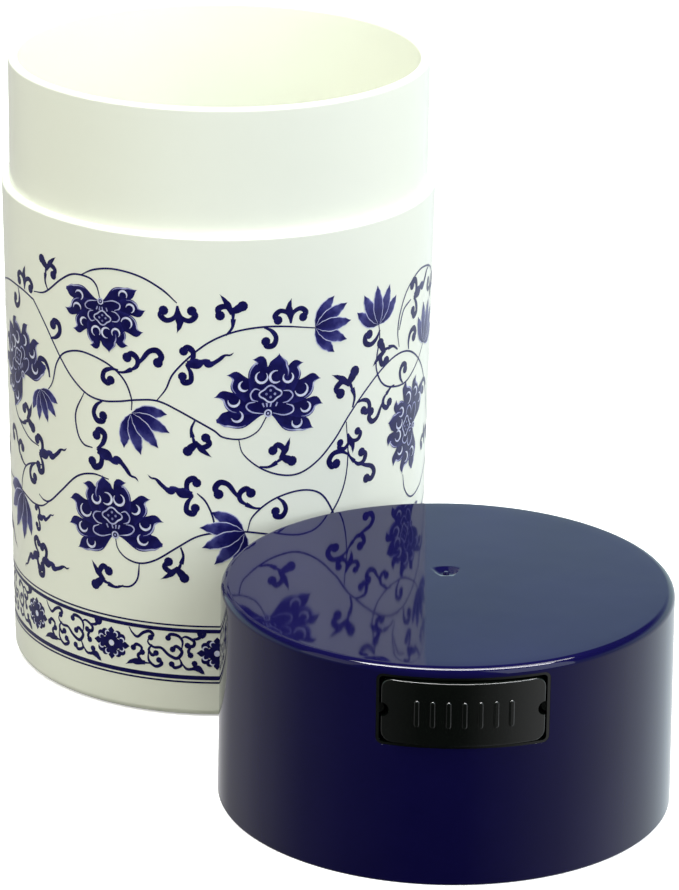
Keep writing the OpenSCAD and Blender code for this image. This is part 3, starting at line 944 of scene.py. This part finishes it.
# --- Push button ---
# The black push button: satin plastic, moulded hollow, with rounded edges, a notch at each
# end that runs on a rib of its frame, and seven domed grip ribs on its curved face.
button_low, button_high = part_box("push_button")
button_half_width = (button_high.x - button_low.x) / 2 / MM
button_bottom, button_top = button_low.z / MM, button_high.z / MM
button_middle = (button_bottom + button_top) / 2
button_back = -36.2
face_radius = 34
face_centre = -8.4
notch_radius = 1.3
button_wall = 2.3
button_corner = 1.8
button_rounding = 1.6
grip_ribs = 7
grip_pitch = 2.8
grip_half_width = 0.5
grip_half_height = 2.5
grip_proud = 0.3
button = finished("thumb_button", at_cap(rounded_bar(
    button_half_width, button_bottom, button_top, button_corner, -45, button_back)))
carve(button, at_cap(turned_bar(face_radius, face_radius, 60), y=face_centre), "INTERSECT")
soften(button, button_rounding, 8)
for side in (-1, 1):
    notch = turned_bar(notch_radius, notch_radius, 16, 40)
    bmesh.ops.rotate(notch, cent=(0, 0, 0), matrix=Matrix.Rotation(pi / 2, 3, "X"),
                     verts=notch.verts)
    carve(button, at_cap(notch, side * button_half_width, -32, button_middle))
carve(button, at_cap(rounded_bar(button_half_width - button_wall, button_bottom + 1.5,
                                 button_top - 1.5, 0.5, -38.2, button_back + 1)))


def grip_rib(turn):
    """One rib of the grip, domed, set on the curved face at an angle from its middle."""
    rib = bmesh.new()
    outline = bmesh.ops.create_circle(rib, cap_ends=True, segments=20,
                                      radius=grip_half_width * MM)["verts"]
    straight = (grip_half_height - grip_half_width) * MM
    for vert in outline:
        vert.co.y += straight if vert.co.y > 0 else -straight
    front = bmesh.ops.extrude_face_region(rib, geom=rib.faces[:])
    top = [g for g in front["geom"] if isinstance(g, bmesh.types.BMVert)]
    bmesh.ops.translate(rib, verts=top, vec=(0, 0, (grip_proud + 0.5) * MM))
    rim = [e for e in rib.edges if e.verts[0] in top and e.verts[1] in top]
    bmesh.ops.bevel(rib, geom=rim, offset=0.25 * MM, segments=4, profile=0.5,
                    affect="EDGES", material=-1)
    bmesh.ops.recalc_face_normals(rib, faces=rib.faces)
    bmesh.ops.rotate(rib, cent=(0, 0, 0), matrix=Matrix.Rotation(pi / 2, 3, "X"),
                     verts=rib.verts)
    bmesh.ops.translate(rib, verts=rib.verts, vec=(0, -(face_radius - 0.5) * MM, 0))
    bmesh.ops.rotate(rib, cent=(0, 0, 0), matrix=Matrix.Rotation(turn, 3, "Z"),
                     verts=rib.verts)
    return at_cap(rib, y=face_centre, z=button_middle)


ribs = bmesh.new()
for i in range(grip_ribs):
    rib_data = bpy.data.meshes.new("rib")
    grip_rib((i - (grip_ribs - 1) / 2) * grip_pitch / face_radius).to_mesh(rib_data)
    ribs.from_mesh(rib_data)
carve(button, ribs, "UNION")
crisp(button)
black = moulded("black_satin_plastic", (0.0010, 0.0020, 0.0014), (0.0020, 0.0032, 0.0024),
                0.15, 0.04, 0.02, 1.60)
button.data.materials.append(black)
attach(button, "button")
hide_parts("push_button")


# --- Springs ---
# Three coil springs of steel wire: two behind the push button that push it out, and one
# over the valve stem that keeps the valve shut. Each rests on the cap at its fixed end.
def coil(name, start, axis, radius, wire, length, turns):
    """A wire helix that begins at start and runs along axis, in mm about the cap's axis."""
    steps = 28 * turns
    spring = bmesh.new()
    section = bmesh.ops.create_circle(spring, segments=10, radius=wire * MM)["verts"]
    bmesh.ops.rotate(spring, cent=(0, 0, 0), matrix=Matrix.Rotation(pi / 2, 3, "X"),
                     verts=section)
    bmesh.ops.translate(spring, verts=section, vec=(radius * MM, 0, wire * MM))
    rise = (length - 2 * wire) * MM / steps
    bmesh.ops.spin(spring, geom=spring.verts[:] + spring.edges[:], cent=(0, 0, 0),
                   axis=(0, 0, 1), dvec=(0, 0, rise), angle=2 * pi * turns, steps=steps)
    ends = [e for e in spring.edges if e.is_boundary]
    bmesh.ops.holes_fill(spring, edges=ends, sides=0)
    bmesh.ops.recalc_face_normals(spring, faces=spring.faces)
    direction = Vector(axis).to_track_quat("Z", "Y").to_matrix()
    bmesh.ops.rotate(spring, cent=(0, 0, 0), matrix=direction, verts=spring.verts)
    return finished(name, at_cap(spring, *start))


def wire_steel():
    """Drawn spring wire: bright steel with fine drawing lines and darker specks."""
    material, nodes, links = new_material("drawn_spring_wire")
    place = nodes.new("ShaderNodeTexCoord")
    lines = nodes.new("ShaderNodeTexNoise")
    lines.inputs["Scale"].default_value = 3000
    lines.inputs["Detail"].default_value = 3
    links.new(place.outputs["Object"], lines.inputs["Vector"])
    tone = ramp_node(nodes, [(0.3, 0.42), (0.7, 0.62)])
    gloss = ramp_node(nodes, [(0.3, 0.20), (0.7, 0.34)])
    bump = nodes.new("ShaderNodeBump")
    bump.inputs["Distance"].default_value = 0.01 * MM
    shader = nodes.new("ShaderNodeBsdfPrincipled")
    shader.inputs["Metallic"].default_value = 1.0
    out = nodes.new("ShaderNodeOutputMaterial")
    for part in (tone, gloss):
        links.new(lines.outputs["Fac"], part.inputs["Fac"])
    links.new(lines.outputs["Fac"], bump.inputs["Height"])
    links.new(tone.outputs["Color"], shader.inputs["Base Color"])
    links.new(gloss.outputs["Color"], shader.inputs["Roughness"])
    links.new(bump.outputs["Normal"], shader.inputs["Normal"])
    links.new(shader.outputs["BSDF"], out.inputs["Surface"])
    return material


steel = wire_steel()
wire_radius = 0.2
button_spring_side = 10
button_spring_stop = -33.02
button_spring_radius = 1.6
button_spring_length = 5.0
valve_offset = -24
valve_spring_stop = 39.68
valve_spring_radius = 2.0
valve_spring_length = 4.83
for node, side in (("left_button_spring", -1), ("right_button_spring", 1)):
    start = (side * button_spring_side, button_spring_stop, button_middle)
    spring = coil("coil_" + node, start, (0, -1, 0), button_spring_radius, wire_radius,
                  button_spring_length, 6)
    spring.data.materials.append(steel)
    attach(spring, "cap")
    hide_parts(node)
    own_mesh(spring)
valve_coil = coil("coil_valve_spring", (0, valve_offset, valve_spring_stop), (0, 0, -1),
                  valve_spring_radius, wire_radius, valve_spring_length, 5)
valve_coil.data.materials.append(steel)
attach(valve_coil, "cap")
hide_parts("valve_spring")
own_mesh(valve_coil)


# --- Inner pieces ---
# The pieces inside the cap are shown as designed: the plug, its seal ring, the button's
# frame, and the valve with its housing, slide, stem, washer and pin.
clear_rubber = moulded("clear_seal_rubber", (0.62, 0.66, 0.62), (0.74, 0.78, 0.74), 0.32, 0.05,
                       0.03, 1.42, 0.55)
grey = moulded("grey_valve_plastic", (0.060, 0.062, 0.066), (0.075, 0.078, 0.082), 0.38, 0.06,
               0.03)
black_rubber = moulded("black_washer_rubber", (0.008, 0.008, 0.008), (0.014, 0.014, 0.013),
                       0.62, 0.10, 0.05)
for material, names in (
    (navy, ["inner_plug"]), (clear_rubber, ["seal_ring"]), (black, ["button_bezel"]),
    (grey, ["valve_housing", "button_slide", "valve_stem"]),
    (black_rubber, ["valve_washer"]), (steel, ["lift_pin"]),
):
    for name in names:
        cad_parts[name].data.materials.clear()
        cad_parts[name].data.materials.append(material)
